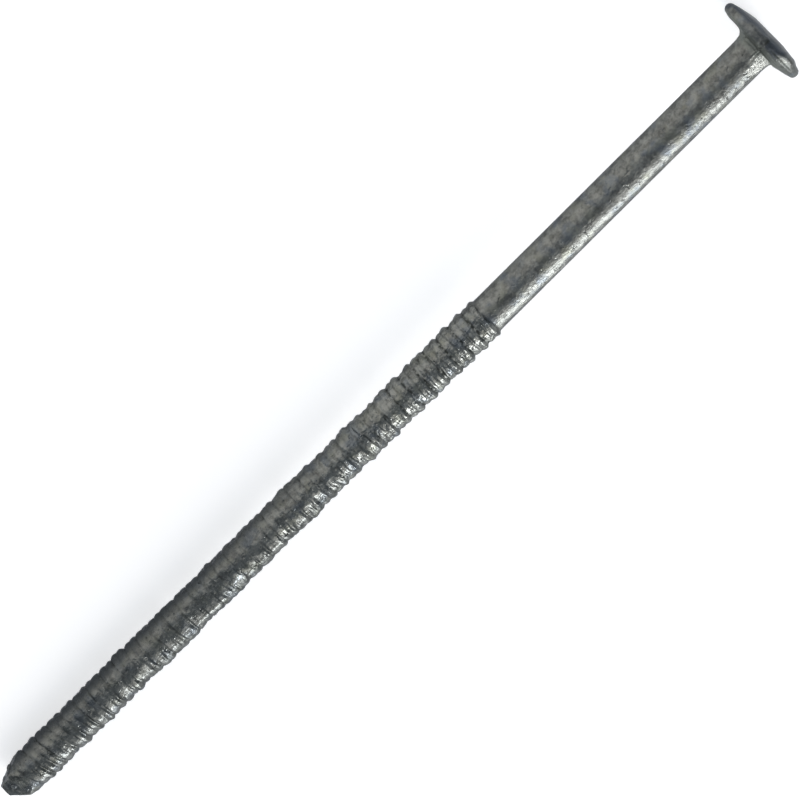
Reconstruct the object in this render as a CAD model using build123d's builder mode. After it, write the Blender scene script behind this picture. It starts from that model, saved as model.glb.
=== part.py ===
"""A hot-dip galvanised ring-shank spike, 10 in long on 3/8 in wire, lying along X with its head at +X.

The origin is the centre of the shank where it meets the head's underside, so the underside is the plane X = 0.
Two pieces: the steel spike, forged from one length of wire, and the zinc that the galvanising bath leaves all
over it. The steel is drawn down to the roots of its rings. Their relief is drawn once, on the zinc that hides it.
Every size is of the finished, galvanised spike.
"""

import os
from math import cos, radians, sin, sqrt

from build123d import *

# shank
spike_length = 254.0  # from the head's underside to the end of the point
shank_d = 9.5
neck_round = 1.5  # between the shank and the head's underside

# rings: each one climbs a ramp from the point, stays level, and drops in a steep shoulder that faces the head
plain_length = 90.6  # of shank, from the head's underside down to the first crest
ring_pitch = 4.25
ring_height = 0.45  # above the plain shank, with which the roots are level
ramp_run = 1.15
shoulder_run = 0.6
ringless_end = 5.0  # no ring ends nearer than this to the end of the point
ring_count = int((spike_length - plain_length - ringless_end) / ring_pitch)

# head, upset a little off the shank's centre
head_d = 23.5
head_offset = 0.45
seat_inset = 2.25  # from the head's edge to that of the underside's flat
rim_rise = 0.4  # the underside's climb from its flat to the rim
rim_height = 2.5
rim_bulge = 0.75
dome_rise = 1.4  # from the rim to the struck flat
strike_d = 9.0  # of the flat that the hammer meets
head_height = rim_rise + rim_height + dome_rise

# point: four faces pinched into the last rings, leaning to one side, and a blunt domed end
end_width = 2.6
end_lean = 0.7
end_dome_rise = 1.85
side_slope = 27.0
heel_slope = 36.0
toe_slope = 21.0

# zinc
zinc = 0.10

shank_r = shank_d / 2
head_centre = Plane(origin=(0, head_offset, 0))
head_axis = Axis(head_centre.origin, (1, 0, 0))

def ring_outline():
    """Section of the rings, from the first crest down to the last root, as (x, radius)."""
    points = []
    for ring in range(ring_count):
        crest_x = -plain_length - ring * ring_pitch
        root_x = crest_x - ring_pitch + shoulder_run
        crest_r = shank_r + ring_height
        points += [(crest_x, crest_r), (root_x + ramp_run, crest_r), (root_x, shank_r)]
    return points

def sphere_radius(rise, foot_r, flat_r=0.0):
    """Radius of the sphere that climbs `rise` from a circle of radius foot_r to one of radius flat_r."""
    depth = (foot_r**2 - flat_r**2 - rise**2) / (2 * rise)  # of its centre under the lower circle
    return sqrt(depth**2 + foot_r**2)

def rim_points(under):
    """The rim's section, `under` its finished surface: where it leaves the underside, its widest, the dome's foot."""
    middle = rim_rise + rim_height / 2
    half = rim_height / 2 - under
    foot_r = head_d / 2 - rim_bulge - under
    return (middle - half, foot_r), (middle, head_d / 2 - under), (middle + half, foot_r)

def end_dome(under):
    """The point's end dome, `under` its finished surface: where it meets the shank, its tip, and its radius."""
    finished_r = sphere_radius(end_dome_rise, shank_r)
    dome_r, foot_r = finished_r - under, shank_r - under
    foot_x = finished_r - spike_length - sqrt(dome_r**2 - foot_r**2)
    return (foot_x, foot_r), (under - spike_length, 0), dome_r

def point_faces(under):
    """The four pinched faces of the point, as planes facing outwards, `under` the finished ones."""
    faces = []
    for slope, direction, lean in (
        (side_slope, Vector(0, 0, 1), 0),
        (side_slope, Vector(0, 0, -1), 0),
        (heel_slope, Vector(0, -1, 0), -end_lean),
        (toe_slope, Vector(0, 1, 0), end_lean),
    ):
        outward = direction * cos(radians(slope)) - Vector(sin(radians(slope)), 0, 0)
        edge = Vector(-spike_length, 0, 0) + direction * (end_width / 2 + lean)
        faces.append(Plane(origin=edge - outward * under, z_dir=outward))
    return faces

# steel spike: shank, head and point in one forging; the wire's section starts inside the head
with BuildPart() as steel_spike:
    with BuildSketch():
        with BuildLine():
            foot, tip, dome_r = end_dome(zinc)
            Polyline(tip, (head_height / 2, 0), (head_height / 2, shank_r - zinc), foot)
            RadiusArc(foot, tip, -dome_r)
        make_face()
    revolve(axis=Axis.X)
    with BuildSketch(head_centre):
        with BuildLine():
            top, seat_r = head_height - zinc, head_d / 2 - seat_inset
            Polyline((zinc, 0), (zinc, seat_r), *rim_points(zinc), (top, strike_d / 2), (top, 0), close=True)
        make_face()
    revolve(axis=head_axis)
    chamfer(edges(Select.NEW), neck_round / 2)
    for face in point_faces(zinc):
        split(bisect_by=face, keep=Keep.BOTTOM)
steel_spike.part.label = "steel_spike"

# zinc coating: a closed skin over the whole forging, with the rings' relief on its outside
with BuildPart() as zinc_coating:
    with BuildSketch():
        with BuildLine():
            foot, tip, dome_r = end_dome(0)
            rings_start = (shoulder_run - plain_length, shank_r)
            Polyline(tip, (head_height / 2, 0), (head_height / 2, shank_r), rings_start, *ring_outline(), foot)
            RadiusArc(foot, tip, -dome_r)
        make_face()
    revolve(axis=Axis.X)
    with BuildSketch(head_centre):
        with BuildLine():
            rim_start, rim_middle, dome_foot = rim_points(0)
            strike_edge = (head_height, strike_d / 2)
            Polyline(strike_edge, (head_height, 0), (0, 0), (0, head_d / 2 - seat_inset), rim_start)
            ThreePointArc(rim_start, rim_middle, dome_foot)
            RadiusArc(dome_foot, strike_edge, sphere_radius(dome_rise, dome_foot[1], strike_edge[1]))
        make_face()
    revolve(axis=head_axis)
    fillet(edges(Select.NEW), neck_round)
    for face in point_faces(0):
        split(bisect_by=face, keep=Keep.BOTTOM)
    add(steel_spike.part, mode=Mode.SUBTRACT)
zinc_coating.part.label = "zinc_coating"

os.makedirs("parts", exist_ok=True)
for piece in (steel_spike, zinc_coating):
    export_step(piece.part, f"parts/{piece.part.label}.step")
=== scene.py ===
"""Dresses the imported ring-shank spike: its galvanised skin, the light of a small studio, the floor and the
camera."""

from math import cos, pi, radians, sin

import bpy
import numpy as np
from mathutils import Matrix, Vector


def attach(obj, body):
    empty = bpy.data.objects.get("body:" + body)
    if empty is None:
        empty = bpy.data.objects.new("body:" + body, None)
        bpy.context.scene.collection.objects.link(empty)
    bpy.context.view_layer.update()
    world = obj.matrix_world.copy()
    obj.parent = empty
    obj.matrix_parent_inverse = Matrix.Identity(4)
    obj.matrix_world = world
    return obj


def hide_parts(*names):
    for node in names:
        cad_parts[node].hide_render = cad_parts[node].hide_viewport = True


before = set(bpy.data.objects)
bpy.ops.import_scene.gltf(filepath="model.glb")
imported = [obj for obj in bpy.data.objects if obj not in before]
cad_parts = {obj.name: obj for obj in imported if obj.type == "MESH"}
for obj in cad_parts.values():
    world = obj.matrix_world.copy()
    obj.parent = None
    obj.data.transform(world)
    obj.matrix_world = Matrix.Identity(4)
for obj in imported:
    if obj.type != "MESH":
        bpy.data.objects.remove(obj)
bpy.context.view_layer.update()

MM = 0.001
WHOLE_TURN = 2 * pi

# the forging's finished sizes, in millimetres
LENGTH = 254.0
SHANK_R = 4.75
NECK_ROUND = 1.5
FIRST_CREST = -90.6
PLAIN_START = FIRST_CREST + 1.5  # where the rings end and the plain shank starts
RING_PITCH = 4.25
RING_COUNT = 37
RING_HEIGHT = 0.45
SHOULDER_RUN = 1.0
SAG = 0.28  # how far a land of a ring falls from its crest to its edges
HEAD_R = 11.75
HEAD_HEIGHT = 4.3
HEAD_OFFSET = 0.45
SEAT_R = 9.5
RIM_FOOT_R = 11.0
RIM_START, RIM_END = 0.4, 2.9
STRIKE_R = 4.5
END_DOME_RISE = 1.85
POINT_LENGTH = 14.0  # the pinched faces reach this far from the tip
DROPS_LENGTH = 8.0  # and the drops of zinc this far
LEAN = 0.28  # how far the dies' parting plane is turned from the XY plane about the axis, in radians
SEAM = -1.1  # how far the seam beside it lies from the plane through the axis and square to it
DEEPEST = 0.06  # how far the skin may sink into the coating, which is 0.1 thick
EDGE_SHARPNESS = 14  # of the edges between the point's faces: higher is sharper
POINT_FACES = (
    # slope in degrees, the way it faces (y, z), and its distance from the axis at the very end
    (27.0, (0, 1), 1.3),
    (27.0, (0, -1), 1.3),
    (36.0, (-1, 0), 0.6),
    (21.0, (1, 0), 2.0),
)
POINT_DROPS = (
    # where each drop of zinc on the point sits (x, y, z), how high it stands and its radius
    (-250.1, 3.4, 3.2, 0.16, 0.9),
    (-250.1, 3.4, -3.2, 0.14, 0.9),
    (-252.2, 1.9, 1.5, 0.34, 0.9),
    (-252.0, 2.4, -0.5, 0.28, 0.9),
    (-249.2, 3.6, -0.6, 0.55, 1.0),
    (-249.8, 3.2, 1.6, 0.45, 1.1),
    (-247.6, 3.5, 2.0, 0.34, 1.0),
    (-248.6, 1.7, 3.3, 0.30, 1.0),
    (-246.3, 4.4, -1.1, 0.35, 0.9),
    (-244.4, 4.7, -1.3, 0.40, 0.9),
    (-251.0, 0.6, 2.4, 0.28, 0.9),
    (-250.2, -2.6, 1.2, 0.15, 0.9),
    (-250.0, 0.0, -2.8, 0.22, 1.0),
)

# the skin's grid: points round the axis, and rows along each stretch of the section
COLUMNS = 108
TIP_ROWS, RING_ROWS, PLAIN_ROWS, NECK_ROWS, SEAT_ROWS = 18, 734, 92, 10, 8
RIM_FOOT_ROWS, RIM_ROWS, DOME_ROWS, STRIKE_ROWS = 5, 15, 16, 9
LUMPS_START, LUMPS_LENGTH = -270.0, 300.0  # the seeded grids reach past both ends of the spike, in mm

# linear colours of the zinc
DARK_ZINC = (0.072, 0.074, 0.070, 1)
PALE_ZINC = (0.215, 0.220, 0.205, 1)
COLD_TINGE = (0.105, 0.125, 0.15, 1)
WARM_TINGE = (0.160, 0.164, 0.134, 1)
# darker zinc towards the point, also painted shade along the +Y edge there
POINT_DARK_AND_SHADE = (0.042, 0.046, 0.048, 1)
# painted light: paler zinc for the neck, filling the shade in its corner
NECK_PAINTED_LIGHT = (0.190, 0.205, 0.180, 1)
# a pale frost-roughened patch, partly a painted highlight
FROST_AND_HIGHLIGHT_COLOUR = (0.445, 0.45, 0.415, 1)
# stains on the head, also its painted shade
STAIN_AND_SHADE_COLOUR = (0.040, 0.050, 0.066, 1)
# painted shade, for the roots, creases and drops' edges and for strokes across the lit middle rings
PAINTED_SHADE = (0.024, 0.027, 0.024, 1)

# the studio
FLOOR_GLOW = 0.41
FLOOR_HALF = 3000.0  # half the card's side, in mm
CEILING_LIGHT, WALL_LIGHT, GLOW_LIGHT = 0.27, 1.05, 1.8
CEILING_TINT = (0.86, 0.98, 1.12, 1)
WALL_TINT = (1.02, 1.0, 0.985, 1)
LAMP_TINT = (0.975, 1.0, 1.035)
LENS = 189.2


# ---------------------------------------------------------------- seeded unevenness


def smooth(t):
    """0 up to 0, 1 from 1, and an S-shaped rise between."""
    t = np.clip(t, 0, 1)
    return t * t * (3 - 2 * t)


def bell(t):
    """1 at 0 and falling away on both sides of it: e to the power of minus t squared."""
    return np.exp(-(t**2))


def lumps(along, turn, step, count, seed):
    """Heights from -1 to 1 on a seeded grid, `step` mm apart along the spike and `count` to a turn round it,
    joined by S-shaped rises. The grid closes on itself round the shank."""
    rng = np.random.default_rng(seed)
    rows = int(LUMPS_LENGTH / step) + 4
    grid = rng.uniform(-1, 1, (rows, count))
    u = (along - LUMPS_START) / step
    v = turn / WHOLE_TURN * count
    i, j = np.floor(u).astype(int), np.floor(v).astype(int)
    fu, fv = smooth(u - i), smooth(v - j)
    i, i1 = np.clip(i, 0, rows - 1), np.clip(i + 1, 0, rows - 1)
    j, j1 = j % count, (j + 1) % count
    low = grid[i, j] * (1 - fv) + grid[i, j1] * fv
    high = grid[i1, j] * (1 - fv) + grid[i1, j1] * fv
    return low * (1 - fu) + high * fu


def drops(x, y, z, places):
    """Rounded drops of zinc: each place is its middle (x, y, z), its height and its radius, and a drop's
    height falls from its middle as a smooth step of 1 - (distance / radius) squared. Also the painted
    shade round each where it meets the surface, 0 to 1, as a bell about its edge."""
    total, hollow_shade = np.zeros_like(x), np.zeros_like(x)
    for px, py, pz, height, radius in places:
        far = ((x - px) ** 2 + (y - py) ** 2 + (z - pz) ** 2) / radius**2
        total = np.maximum(total, height * smooth(1.3 * (1 - far)))
        # painted shade round the drop's edge, where it meets the surface
        edge = bell((far - 1.05) / 0.35)
        hollow_shade = np.where(far < 0.6, np.minimum(hollow_shade, 0.2), np.maximum(hollow_shade, edge))
    return total, hollow_shade


# ---------------------------------------------------------------- the galvanised skin


def ring_height(x, turn):
    """How far the rolled rings stand above the shank at x and round it, in mm, and how much painted shade
    lies in the root and between the lands, 0 to 1. A ring is a barb with two rounded lands, and its height is
    the higher of two parabolas, crest - sag * ((here - middle) / quarter pitch) squared. The land towards the
    head is the higher one and ends in a steep shoulder. Crests, middles and sag waver, and zinc fills some of
    the roots."""
    waver = 0.22 * lumps(x, turn, 3.4, 6, 11) + 0.12 * lumps(x, turn, 1.5, 13, 12)
    waver = waver + smooth((-215 - x) / 20) * np.sin(turn - 1.3)  # the rings lean near the point
    back = FIRST_CREST + SHOULDER_RUN - x + waver
    ring = np.clip(np.floor(back / RING_PITCH), 0, RING_COUNT - 1).astype(int)
    here = back - ring * RING_PITCH  # from the foot of the shoulder towards the point
    from_point = (x + LENGTH) / (LENGTH + FIRST_CREST)
    near_head = smooth((from_point - 0.5) / 0.35)
    rng = np.random.default_rng(5)
    parting = 0.82 + 0.38 * np.cos(turn + LEAN) ** 2  # the rings are highest where the dies met
    parting = parting * (0.35 + 0.65 * smooth((x + 252) / 12))
    first = RING_HEIGHT * (rng.uniform(0.95, 1.2, RING_COUNT)[ring] + 0.15 * near_head) * parting
    first = first * (1 + 0.25 * lumps(x, turn, 3.6, 7, 15))
    second = RING_HEIGHT * (rng.uniform(0.85, 1.15, RING_COUNT)[ring] - 0.3 * near_head) * parting
    second = second * (1 + 0.35 * lumps(x, turn, 3.9, 6, 16))
    quarter = RING_PITCH / 4
    off = 0.28 * lumps(x, turn, 4.4, 8, 17)
    sag = SAG * (1 + 0.35 * lumps(x, turn, 2.9, 5, 18))
    high = first - sag * ((here - quarter * 1.1 - off) / quarter) ** 2
    low = second - sag * ((here - quarter * 3 + off) / quarter) ** 2
    height = np.maximum(np.maximum(high, low), 0) * smooth(here / SHOULDER_RUN)
    relief = 1 - 0.4 * (1 - near_head) * (1 - smooth((-200 - x) / 18))  # the rings are filled most halfway
    height = 0.33 * (1 - relief) + height * relief
    filled = smooth((lumps(x, turn, 2.6, 8, 14) - 0.3) / 0.6) * (1 - 0.8 * smooth((from_point - 0.78) / 0.12))
    height = np.maximum(height, 0.6 * RING_HEIGHT * filled)
    started = (back > 0) & (back < RING_COUNT * RING_PITCH)
    # painted shade in the root of each ring and between its lands, less where zinc fills it
    root = bell((here - 0.15) / 0.28) + bell((here - RING_PITCH) / 0.28)
    between_lands = bell((here - quarter * 2.1) / 0.25)
    root = (root + 0.6 * between_lands) * (1 - 0.8 * filled)
    past_first = smooth((back - 0.3) / 2.4)  # the foot of the first shoulder is clean
    return np.where(started, height, 0), np.clip(root, 0, 1) * past_first


def point_reach(x, turn):
    """How far out the pinched faces of the point let the surface go, in mm: the smallest of the faces'
    distances, taken as a power mean, which rounds their edges over."""
    y, z = np.cos(turn), np.sin(turn)
    inverse = np.zeros_like(x)
    for slope, (fy, fz), end in POINT_FACES:
        towards = y * fy + z * fz
        out = end + (x + LENGTH) * np.tan(radians(slope))
        inverse = inverse + np.clip(towards / np.maximum(out, 0.05), 0, None) ** EDGE_SHARPNESS
    return np.maximum(inverse, 1e-30) ** (-1 / EDGE_SHARPNESS)


def outline():
    """The section of the forging without its rings, from the tip to the middle of the head's top: x and
    radius of each row, how far its centre is moved towards the head's, and the way its surface faces
    (x, radial). The tip, the rim and the dome are arcs, and the rest is straight but for the neck's
    quarter round."""
    end_r = (SHANK_R**2 + END_DOME_RISE**2) / (2 * END_DOME_RISE)
    full = np.arcsin(SHANK_R / end_r)
    a = np.linspace(0, 1, TIP_ROWS) ** 0.8 * full
    parts = [(-LENGTH + end_r * (1 - np.cos(a)), end_r * np.sin(a), 0 * a)]
    x = np.linspace(-LENGTH + END_DOME_RISE, PLAIN_START, RING_ROWS)[1:]
    parts.append((x, SHANK_R + 0 * x, 0 * x))
    x = np.linspace(PLAIN_START, -NECK_ROUND, PLAIN_ROWS)[1:]
    parts.append((x, SHANK_R + 0 * x, 0 * x))
    a = np.linspace(0, pi / 2, NECK_ROWS)[1:]
    parts.append((-NECK_ROUND + NECK_ROUND * np.sin(a), SHANK_R + NECK_ROUND * (1 - np.cos(a)), 0 * a))
    r = np.linspace(SHANK_R + NECK_ROUND, SEAT_R, SEAT_ROWS)[1:]
    moved_already = 0.45
    parts.append((0 * r, r, (r - r[0] + moved_already) / (SEAT_R - SHANK_R - NECK_ROUND)))
    r = np.linspace(SEAT_R, RIM_FOOT_R, RIM_FOOT_ROWS)[1:]
    parts.append((RIM_START * (r - SEAT_R) / (RIM_FOOT_R - SEAT_R), r, 1 + 0 * r))
    bulge, half = HEAD_R - RIM_FOOT_R, (RIM_END - RIM_START) / 2
    rim_r = (bulge**2 + half**2) / (2 * bulge)
    reach = np.arcsin(half / rim_r)
    a = np.linspace(-reach, reach, RIM_ROWS)[1:]
    parts.append((RIM_START + half + rim_r * np.sin(a), HEAD_R - rim_r * (1 - np.cos(a)), 1 + 0 * a))
    rise = HEAD_HEIGHT - RIM_END
    depth = (RIM_FOOT_R**2 - STRIKE_R**2 - rise**2) / (2 * rise)
    dome_r = np.hypot(depth, RIM_FOOT_R)
    r = np.linspace(RIM_FOOT_R, STRIKE_R, DOME_ROWS)[1:]
    parts.append((RIM_END - depth + np.sqrt(dome_r**2 - r**2), r, 1 + 0 * r))
    r = np.linspace(STRIKE_R, 0, STRIKE_ROWS)[1:]
    parts.append((HEAD_HEIGHT + 0 * r, r, 1 + 0 * r))
    x, r, moved = (np.concatenate(column) for column in zip(*parts))
    dx, dr = np.gradient(x), np.gradient(r)
    size = np.hypot(dx, dr)
    return x, r, np.clip(moved, 0, 1), -dr / size, dx / size


def shaft_lumps(x, turn):
    """The zinc's own unevenness on the shank, in mm: low runs on the plain part, and on the rings lumps with
    short strokes across them, coarser along the middle of the rings."""
    ringed = smooth((PLAIN_START - x) / 2)
    coarse = smooth((-112 - x) / 12) * (0.75 + 0.25 * smooth((x + 215) / 40))
    plain = 0.018 * lumps(x, turn, 9.0, 5, 24) + 0.010 * lumps(x, turn, 2.4, 13, 25)
    big = 0.20 * lumps(x, turn, 2.3, 9, 21) + 0.14 * lumps(x, turn, 6.0, 5, 20)
    strokes = 0.06 * lumps(x, turn, 0.8, 9, 23) + 0.05 * lumps(x, turn, 1.1, 20, 26)
    strokes = strokes + 0.035 * lumps(x, turn, 0.5, 36, 28) + 0.10 * lumps(x, turn, 1.7, 14, 29)
    rough = 0.45 * big + 0.6 * strokes + coarse * (0.9 * big + 0.4 * strokes)
    return plain * (1 - ringed) + rough * ringed


def head_lumps(x, y, z, face_x):
    """The head's own unevenness, in mm, and the painted shade in its creases, 0 to 1: softly dented all over,
    zinc that fills the neck, most on the +Y side of the seam where the dies met, a low ridge with a crease
    along that seam, a crease along the rim's front with a bead beyond it, and a thicker flank behind it.
    Ridge, creases and bead are bells across their lines, cut off by smooth steps where they end."""
    turn, radius = np.arctan2(z, y), np.hypot(y, z)
    soft = 0.05 * lumps(x, turn, 3.0, 9, 41) + 0.035 * lumps(x, turn, 1.3, 22, 42)
    across = y * np.cos(LEAN) - z * np.sin(LEAN)
    dent = -DEEPEST * np.clip(face_x, 0, 1) * bell((across - 0.8) / 0.8)
    above = smooth((z - 1.0) / 2.0)
    off_seam = across - SEAM - 0.12 * np.sin(x * 2.2)
    near_seam = smooth((x + 6.5) / 3) * (1 - smooth((x - 2.6) / 0.8)) * above
    ridge = 0.32 * bell((off_seam - 0.5) / 0.45) * near_seam
    crease = bell(off_seam / 0.28) * near_seam * smooth((x + 2.6) / 1.2)
    in_corner = bell(np.hypot(x, radius - SHANK_R) / 1.7)
    fill = (0.40 + 0.40 * above * smooth(off_seam / 0.5)) * in_corner
    low_side = smooth((-across - 2.6) / 2) * (1 - smooth((-across - 9.4) / 1.2)) * above
    rim_crease = bell((x - 1.4) / 0.30) * low_side
    beside = smooth((-across - 4.8) / 1.6) * (1 - smooth((-across - 8.4) / 1.6)) * above
    bead = 0.6 * bell((x - 3.0) / 0.7) * beside
    flank = 0.60 * smooth((-across - 1.5) / 4.0) * np.clip(-face_x, 0, 1) * smooth((radius - 5.0) / 1.0)
    flank = flank * (1 - 0.85 * smooth((radius - 6.0) / 4.5))
    out = soft + dent + ridge + fill + bead + flank - 0.10 * crease - DEEPEST * rim_crease
    return out, np.clip(crease + rim_crease, 0, 1)


def frost_and_highlight_patch(x, y, z):
    """Where the zinc froze pale and rough, 0 to 1, its paleness partly a painted highlight: a patch on the
    neck's flank beside the seam.
    """
    turn = np.arctan2(z, y)
    edge = 0.7 * lumps(x, turn, 0.8, 26, 51)
    along = smooth((x + 6.0 + edge) / 0.7) * (1 - smooth((x + 0.7) / 0.5))
    across = SEAM - y * np.cos(LEAN) + z * np.sin(LEAN)
    between = smooth((across + 0.1 + 0.12 * x + edge * 0.3) / 0.5) * (1 - smooth((-y - 3.6) / 0.3))
    return along * between * smooth((z - 0.5) / 1.0)


def head_stain_and_shade(x, y, z):
    """Where the head is painted dark for stains and painted shade, 0 to 1: beside the seam on its -Y side,
    the edge that faces +Y and the rim's front next to it, and more lightly the middle of the rim and the
    dome."""
    turn = np.arctan2(z, y)
    edge = 0.8 * lumps(x, turn, 1.1, 18, 52)
    across = y * np.cos(LEAN) - z * np.sin(LEAN)
    upper = smooth((z - 0.5) / 1.0)
    beside = smooth((SEAM - across + edge * 0.2) / 0.4) * (1 - smooth((-across - 5.0 + edge) / 1.5))
    beside = beside * smooth((x - 0.2 + 0.5 * edge) / 1.2) * upper
    far_edge = smooth((across - 10.2 + edge) / 1.2)
    front = 0.8 * smooth((across - 3.0 + edge) / 3) * smooth((x - 1.9 + 0.4 * edge) / 0.8)
    middle = 0.35 * smooth((across + 0.6 + edge) / 1.5) * (1 - smooth((across - 5.0 + edge) / 2))
    middle = middle * smooth((z - 1) / 2)
    dome = 0.5 * smooth((x - 2.5 + 0.4 * edge) / 0.7) * smooth((across + 5.5 + edge) / 2)
    dome = dome * smooth((z - 0.5) / 2)
    on_edge = smooth((np.hypot(y, z) - 7.5 + 1.2 * edge) / 2.5)
    return np.clip(beside + far_edge + front + middle + dome, 0, 1) * on_edge * smooth((x + 0.6) / 0.8)


def galvanised_skin():
    """The whole outside of the spike: the section carried round the axis. A point is the section's, moved
    along the way that the section faces by the rings, the lumps of zinc and the head's own unevenness, and
    held inside the point's pinched faces. Each end closes in one middle vertex."""
    x0, r0, moved, face_x, face_r = outline()
    turn = np.arange(COLUMNS) / COLUMNS * WHOLE_TURN
    x, t = x0[:, None] + 0 * turn, turn + 0 * x0[:, None]
    r, nx, nr = r0[:, None] + 0 * turn, face_x[:, None] + 0 * turn, face_r[:, None] + 0 * turn
    on_section = (x, r * np.cos(t), r * np.sin(t))

    on_shaft = smooth((-x - 0.2) / 1.6)
    on_head = smooth((x + 7) / 5)
    rings, root = ring_height(x, t)
    head, creases = head_lumps(*on_section, nx)
    out = (rings + shaft_lumps(x, t)) * on_shaft + head * on_head
    out = np.maximum(out, -DEEPEST)

    limited = np.minimum(r + out * nr, point_reach(x, t))
    rough_end = 0.06 + 0.08 * lumps(x, t, 1.3, 11, 31) + 0.05 * lumps(x, t, 2.8, 6, 32)
    rough_end = np.maximum(rough_end, -DEEPEST) * smooth((limited - 0.6) / 1.2)
    beads, round_drops = drops(x, limited * np.cos(t), limited * np.sin(t), POINT_DROPS)
    near_end = smooth((-LENGTH + DROPS_LENGTH - x) / 2)
    pinched = limited + (rough_end + beads) * near_end
    radius = np.where(x < -LENGTH + POINT_LENGTH, pinched, r + out * nr)
    where_x = np.clip(x + out * nx, -LENGTH, HEAD_HEIGHT)

    y = np.clip(radius * np.cos(t) + HEAD_OFFSET * moved[:, None], HEAD_OFFSET - HEAD_R, HEAD_OFFSET + HEAD_R)
    z = np.clip(radius * np.sin(t), -HEAD_R, HEAD_R)

    rows = len(x0) - 2
    ring_points = np.stack([where_x[1:-1], y[1:-1], z[1:-1]], -1).reshape(-1, 3)
    tip = (x0[0], 0.0, 0.0)
    middle_top = (where_x[-2].mean(), HEAD_OFFSET, 0.0)
    points = np.concatenate([[tip], ring_points, [middle_top]])
    i, j = np.meshgrid(np.arange(rows - 1), np.arange(COLUMNS), indexing="ij")
    k = (j + 1) % COLUMNS
    here, ahead = 1 + i * COLUMNS, 1 + (i + 1) * COLUMNS
    quads = np.stack([here + j, here + k, ahead + k, ahead + j], -1)
    around = np.arange(COLUMNS)
    following = (around + 1) % COLUMNS
    last = 1 + (rows - 1) * COLUMNS
    tip_fan = np.stack([0 * around, 1 + following, 1 + around], -1)
    top_fan = np.stack([0 * around + len(points) - 1, last + around, last + following], -1)
    mesh = bpy.data.meshes.new("galvanised_skin")
    faces = tip_fan.tolist() + quads.reshape(-1, 4).tolist() + top_fan.tolist()
    mesh.from_pydata((points * MM).tolist(), [], faces)
    mesh.polygons.foreach_set("use_smooth", np.ones(len(mesh.polygons), bool))

    def keep(name, values):
        """Writes a value for each vertex, for the material to read."""
        whole = np.concatenate([[values[1, 0]], values[1:-1].ravel(), [values[-2, 0]]])
        mesh.attributes.new(name, "FLOAT", "POINT").data.foreach_set("value", whole.astype(np.float32))

    crisp = 0.5 + 0.5 * smooth((x + 135) / 25)
    # painted shade in the roots of the rings, the head's creases and round the drops of zinc
    keep("hollow_shade", np.clip(root * crisp * on_shaft + creases * on_head + 0.8 * round_drops * near_end, 0, 1))
    keep("rolled", smooth((FIRST_CREST + 1.2 - x) / 1.5) * on_shaft)
    # a frost-roughened patch on the neck, painted pale as a highlight
    keep("frost_and_highlight", frost_and_highlight_patch(*on_section))
    # stains on the head and painted shade on it
    keep("stain_and_shade", head_stain_and_shade(*on_section))
    mesh.update()
    skin = bpy.data.objects.new("galvanised_skin", mesh)
    bpy.context.scene.collection.objects.link(skin)
    return skin


# ---------------------------------------------------------------- materials


class Value:
    """A socket of a node tree. Sums, differences and products of Values and numbers add Math nodes."""

    def __init__(self, tree, socket):
        self.tree, self.socket = tree, socket

    def node(self, kind, settings=None, **values):
        """Any node: its settings are set first, then the values or links of its sockets, by name, or by
        number after an underscore."""
        made = self.tree.nodes.new(kind)
        for name, setting in (settings or {}).items():
            setattr(made, name, setting)
        for name, value in values.items():
            socket = made.inputs[int(name[1:]) if name[0] == "_" else name.replace("_", " ")]
            if isinstance(value, Value):
                self.tree.links.new(value.socket, socket)
            else:
                socket.default_value = value
        return made

    def of(self, made, output=0):
        """An output of a node, by number, as a Value."""
        return Value(self.tree, made.outputs[output])

    def feeds(self, made, name):
        """Links this to a named socket of a node that is there already."""
        self.tree.links.new(self.socket, made.inputs[name])

    def math(self, operation, b=0.0, clamp=False):
        """This and b through one Math node."""
        settings = {"operation": operation, "use_clamp": clamp}
        return self.of(self.node("ShaderNodeMath", settings, _0=self, _1=b))

    def __add__(self, other):
        return self.math("ADD", other)

    __radd__ = __add__

    def __mul__(self, other):
        return self.math("MULTIPLY", other)

    __rmul__ = __mul__

    def __sub__(self, other):
        return self.math("SUBTRACT", other)

    def __rsub__(self, other):
        return self * -1.0 + other

    def clamped(self):
        """This, held between 0 and 1."""
        return self.math("ADD", 0.0, clamp=True)

    def between(self, low, high):
        """0 up to low, 1 from high, smooth between."""
        step = {"interpolation_type": "SMOOTHSTEP"}
        return self.of(self.node("ShaderNodeMapRange", step, Value=self, From_Min=low, From_Max=high))

    def band(self, low, inner_low, inner_high, high):
        """0 outside low and high, 1 inside the inner two, smooth between."""
        return self.between(low, inner_low) * (1 - self.between(inner_high, high))

    def mix(self, low, high):
        """The colour that is `low` where this is 0 and `high` where it is 1."""
        made = self.node("ShaderNodeMix", {"data_type": "RGBA"}, _0=self, _6=low, _7=high)
        return self.of(made, 2)


def new_material(name):
    """A material with only a Principled shader, that shader, and the Object coordinates as a Value to start
    from."""
    material = bpy.data.materials.new(name)
    material.use_nodes = True
    tree = material.node_tree
    shader = tree.nodes["Principled BSDF"]
    places = tree.nodes.new("ShaderNodeTexCoord")
    return material, shader, Value(tree, places.outputs["Object"])


def rgb(grey, warm=0.0):
    """A grey with a little warmth (or cold, below 0), as a linear colour."""
    return (grey * (1 + warm), grey, grey * (1 - warm), 1.0)


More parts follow.
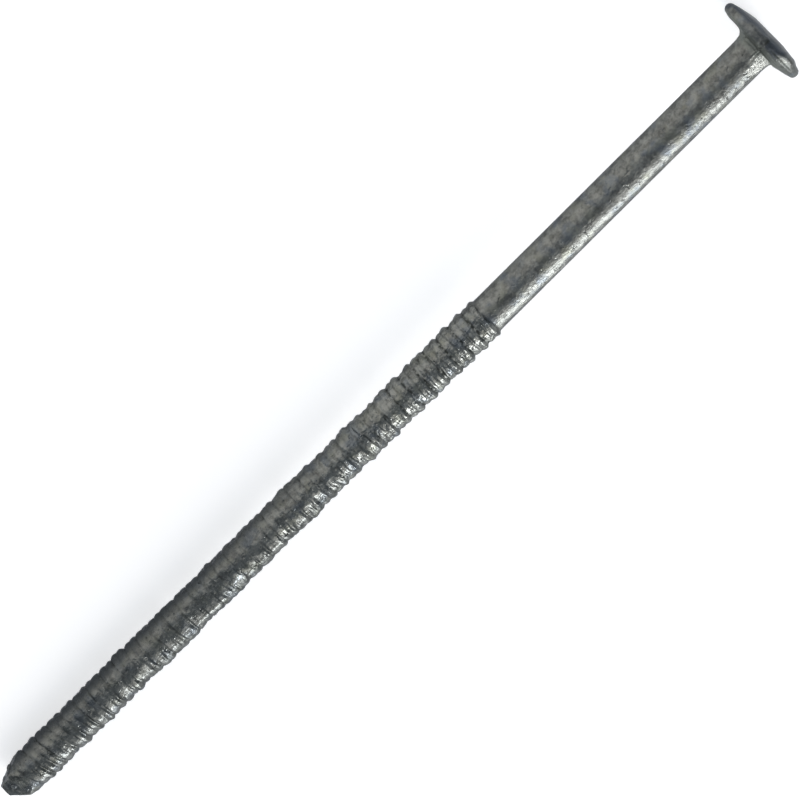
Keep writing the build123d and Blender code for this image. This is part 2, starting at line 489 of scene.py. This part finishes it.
def galvanised_zinc():
    """Dull hot-dip zinc: mottled patches with faint frost-like crystals, cold and warm tinges, a painted
    sheen along the top of the rings, a darker skin towards the point with painted shade along its +Y edge,
    painted shade along the +Y edge of the shank, a rough neck painted paler to fill its shade, with one pale
    frost-roughened patch that is partly a painted highlight, dark stains and painted shade on the head,
    painted shade in the roots of the rings, in the head's creases and round the drops, and strokes of
    painted shade across the lit -Y side of the middle rings that dim their highlight. Grain, pits,
    scratches and strokes across the rings make its bump. Places are in metres."""
    material, shader, at = new_material("galvanised_zinc")

    def kept(name):
        """The value that the skin keeps at each vertex under this name."""
        return at.of(at.node("ShaderNodeAttribute", {"attribute_name": name}), 2)

    def noise(scale, detail=2.0, roughness=0.5, stretched=(1, 1, 1)):
        """Clouded noise from 0 to 1, finer along an axis that is stretched by more than 1."""
        source = at.of(at.node("ShaderNodeMapping", {}, Vector=at, Scale=stretched))
        look = {"Scale": scale, "Detail": detail, "Roughness": roughness}
        return at.of(at.node("ShaderNodeTexNoise", {}, Vector=source, **look))

    hollow_shade, rolled, frost_and_highlight, stain_and_shade = kept("hollow_shade"), kept("rolled"), kept("frost_and_highlight"), kept("stain_and_shade")
    place = at.node("ShaderNodeSeparateXYZ", {}, Vector=at)
    along, across, upward = at.of(place, 0), at.of(place, 1), at.of(place, 2)
    from_head = along * -1.0
    to_point = from_head.between(0.105, 0.195)
    halfway = from_head.band(0.115, 0.150, 0.206, 0.228)
    at_neck = along.band(-0.003, -0.0012, 0.0002, 0.001)
    # painted sheen: a band along the top of the rings, paler as if it caught more light
    painted_sheen_band = across.band(-0.0030, -0.0012, 0.0004, 0.0020) * upward.between(0.0, 0.002)
    flank = (1 - across.between(-0.0038, -0.0022)) * rolled
    low_side = halfway * across.band(-0.0048, -0.0040, -0.0028, -0.0016)

    patches = noise(480.0, 3.0, 0.6)
    fine = noise(1500.0, 3.0, 0.6)
    crystals = at.of(at.node("ShaderNodeTexVoronoi", {}, Vector=at, Scale=620.0), 1)
    crystal = at.of(at.node("ShaderNodeSeparateColor", {}, Color=crystals), 0)
    strokes = noise(760.0, 1.0, stretched=(1.0, 0.3, 0.3)) * rolled

    tone = patches.between(0.36, 0.64) * 0.55 + crystal * 0.2 + fine.between(0.3, 0.7) * 0.3
    tone = (tone - 0.5) * (1 + rolled * 0.25) + 0.5 + rolled * (0.14 + painted_sheen_band * 0.42)
    # painted shade: the +Y edge of the shank made darker
    tone = tone - across.between(0.0041, 0.0049) * from_head.between(0.001, 0.005) * 0.22
    grey = tone.mix(DARK_ZINC, PALE_ZINC)
    cold = (noise(230.0).between(0.5, 0.7) * 0.5).mix(grey, COLD_TINGE)
    warm = (noise(260.0, stretched=(1, 1.3, 1)).between(0.5, 0.7) * 0.5).mix(cold, WARM_TINGE)
    # darker towards the point, with painted shade added along its +Y edge
    point_dark_and_edge_shade = rolled * (to_point * (0.30 + across.between(0.0028, 0.0050) * 0.65) + 0.04)
    point_and_edge_darkened = point_dark_and_edge_shade.mix(warm, POINT_DARK_AND_SHADE)
    # painted light: the neck made paler to fill the shade in its corner
    neck_lightened = (at_neck * 0.6).mix(point_and_edge_darkened, NECK_PAINTED_LIGHT)
    # stains on the head, and painted shade where its rim and +Y edge lie in shade
    head_darkened = (stain_and_shade * 0.75).mix(neck_lightened, STAIN_AND_SHADE_COLOUR)
    broken = noise(1000.0).between(0.40, 0.56)
    # painted shade in the roots, creases and round the drops, broken up on the rings
    hollows_shaded = (hollow_shade * (broken * rolled + 0.9 * (1 - rolled))).mix(head_darkened, PAINTED_SHADE)
    # painted shade: dark strokes across the lit -Y side of the middle rings dim their highlight
    highlight_dimming = (1 - strokes.between(0.44, 0.50)) * rolled * low_side * 0.4
    highlight_dimmed = highlight_dimming.mix(hollows_shaded, PAINTED_SHADE)
    # the frost-roughened patch, painted pale as a highlight
    colour = (frost_and_highlight * (0.45 + fine.between(0.35, 0.6) * 0.5)).mix(highlight_dimmed, FROST_AND_HIGHLIGHT_COLOUR)
    colour.feeds(shader, "Base Color")

    rough = 0.28 + patches.between(0.3, 0.7) * 0.06 + fine * 0.06 - rolled * 0.07
    rough = rough + hollow_shade * 0.15 + at_neck * 0.15 + stain_and_shade * 0.15 + flank * 0.12
    rough.clamped().feeds(shader, "Roughness")
    shader.inputs["Metallic"].default_value = 0.93
    shader.inputs["Specular Tint"].default_value = (0.50, 0.51, 0.53, 1)

    scratches = noise(600.0, 2.0, 0.6, stretched=(0.7, 1.6, 1.6))
    grain = noise(1300.0, 3.0, 0.6) + noise(3200.0, 2.0, 0.6) * 0.35
    pits = noise(700.0).between(0.62, 0.75) * -0.6
    dimples = noise(880.0, 1.0) * rolled
    height = grain * (1.2 - rolled * 0.2 + frost_and_highlight * 3.0) + scratches * (0.6 + rolled * 0.3)
    height = height + pits * (1.6 + rolled * 0.6) + dimples * (2.2 - to_point * 1.7)
    height = height + strokes * (5.6 - to_point * 2.4 - flank * 2.4 + low_side * 2.0)
    bump = at.of(at.node("ShaderNodeBump", {}, Strength=1.0, Distance=0.00012, Height=height))
    bump.feeds(shader, "Normal")
    return material


def drawn_steel():
    """The bare steel inside: mid grey with faint drawing lines along the wire."""
    material, shader, at = new_material("drawn_steel")
    along = at.of(at.node("ShaderNodeMapping", {}, Vector=at, Scale=(0.05, 1.0, 1.0)))
    lines = at.of(at.node("ShaderNodeTexNoise", {}, Vector=along, Scale=2400.0, Detail=3.0))
    lines.mix(rgb(0.36, 0.01), rgb(0.46, 0.01)).feeds(shader, "Base Color")
    (0.3 + lines * 0.2).feeds(shader, "Roughness")
    shader.inputs["Metallic"].default_value = 1.0
    return material


def floor_card():
    """Matt white card with a hardly visible tooth. Seen by the camera, in metal or through glass it has a
    little light of its own, which brings it up to white where no shadow falls."""
    material, shader, at = new_material("floor_card")
    tooth = at.of(at.node("ShaderNodeTexNoise", {}, Vector=at, Scale=700.0, Detail=2.0))
    tooth.mix(rgb(0.90), rgb(0.92)).feeds(shader, "Base Color")
    shader.inputs["Roughness"].default_value = 0.9
    shader.inputs["Specular IOR Level"].default_value = 0.1
    path = at.node("ShaderNodeLightPath")
    by_camera, in_metal, through_glass = at.of(path, 0), at.of(path, 3), at.of(path, 6)
    seen = by_camera.math("MAXIMUM", in_metal).math("MAXIMUM", through_glass)
    seen.mix((0, 0, 0, 1), rgb(FLOOR_GLOW)).feeds(shader, "Emission Color")
    shader.inputs["Emission Strength"].default_value = 1.0
    return material


# ---------------------------------------------------------------- the studio


def floor():
    """A flat card that the spike lies on: it touches the head's rim and the crests near the point."""
    head_touch = np.array((1.65, -HEAD_R))
    ring_touch = np.array((-246.0, -SHANK_R - RING_HEIGHT))
    along = (head_touch - ring_touch) / np.hypot(*(head_touch - ring_touch))
    middle = (head_touch + ring_touch) / 2
    gap = 0.02
    corners = []
    for u, v in ((-1, -1), (1, -1), (1, 1), (-1, 1)):
        x, z = middle + along * FLOOR_HALF * u
        corners.append((x * MM, FLOOR_HALF * v * MM, (z - gap) * MM))
    mesh = bpy.data.meshes.new("floor")
    mesh.from_pydata(corners, [], [(0, 1, 2, 3)])
    card = bpy.data.objects.new("floor", mesh)
    bpy.context.scene.collection.objects.link(card)
    mesh.materials.append(floor_card())


def softbox(name, direction, distance, size, power, aim=(-0.12, 0.0, 0.0)):
    """A rectangular lamp (across, high), `distance` metres away in a direction from `aim`, facing it."""
    lamp = bpy.data.lights.new(name, "AREA")
    lamp.shape = "RECTANGLE"
    lamp.size, lamp.size_y = size
    lamp.energy = power
    lamp.color = LAMP_TINT
    made = bpy.data.objects.new(name, lamp)
    way = Vector(direction).normalized()
    made.location = Vector(aim) + way * distance
    made.rotation_euler = way.to_track_quat("Z", "Y").to_euler()
    bpy.context.scene.collection.objects.link(made)


def room():
    """The world: a pale wall behind the spike, a window's glow in front of it, and a dim cool ceiling between
    them that goes down to the floor at both ends."""
    world = bpy.data.worlds.new("studio")
    bpy.context.scene.world = world
    world.use_nodes = True
    tree = world.node_tree
    way = Value(tree, tree.nodes.new("ShaderNodeTexCoord").outputs["Generated"])
    split = way.node("ShaderNodeSeparateXYZ", {}, Vector=way)
    x, y = way.of(split, 0), way.of(split, 1)
    reach = y * 0.72 + 0.9  # the glow's half width along the spike, narrower towards the horizon
    before = 1 - ((x + 0.13).math("ABSOLUTE") - reach).between(-0.1, 0.1)
    wall = y.between(0.12, 0.80) * WALL_LIGHT
    glow = (y * -1.0).between(0.10, 0.84) * before * GLOW_LIGHT
    background = tree.nodes["Background"]
    (wall + glow).clamped().mix(CEILING_TINT, WALL_TINT).feeds(background, "Color")
    (CEILING_LIGHT + wall + glow).feeds(background, "Strength")


def camera():
    """Above the spike, a little behind it and towards its head, looking down at it, with the head to the
    upper right."""
    tilt, lean, roll, distance = radians(6.9), radians(16.0), radians(44.816), 1.0
    aim = Vector((-0.11879, 0.00038, 0.0))
    over, behind = Vector((0, sin(lean), cos(lean))), Vector((0, cos(lean), -sin(lean)))
    back = Vector((sin(tilt), 0, 0)) + over * cos(tilt)
    level = Vector((cos(tilt), 0, 0)) - over * sin(tilt)
    right = level * cos(roll) - behind * sin(roll)
    up = level * sin(roll) + behind * cos(roll)
    data = bpy.data.cameras.new("camera")
    data.lens = LENS
    data.clip_end = 20.0
    made = bpy.data.objects.new("camera", data)
    turned = Matrix((right, up, back)).transposed().to_4x4()
    turned.translation = aim + back * distance
    made.matrix_world = turned
    bpy.context.scene.collection.objects.link(made)
    bpy.context.scene.camera = made


def dress(obj, material):
    """Gives a piece one material in place of what it had."""
    obj.data.materials.clear()
    obj.data.materials.append(material)


skin = galvanised_skin()
dress(skin, galvanised_zinc())
dress(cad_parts["steel_spike"], drawn_steel())
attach(skin, "root")
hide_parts("zinc_coating")

floor()
softbox("window", (-0.15, -0.955, 0.26), 1.4, (0.6, 0.56), 15.0)
room()
camera()

scene = bpy.context.scene
scene.view_settings.view_transform = "Standard"
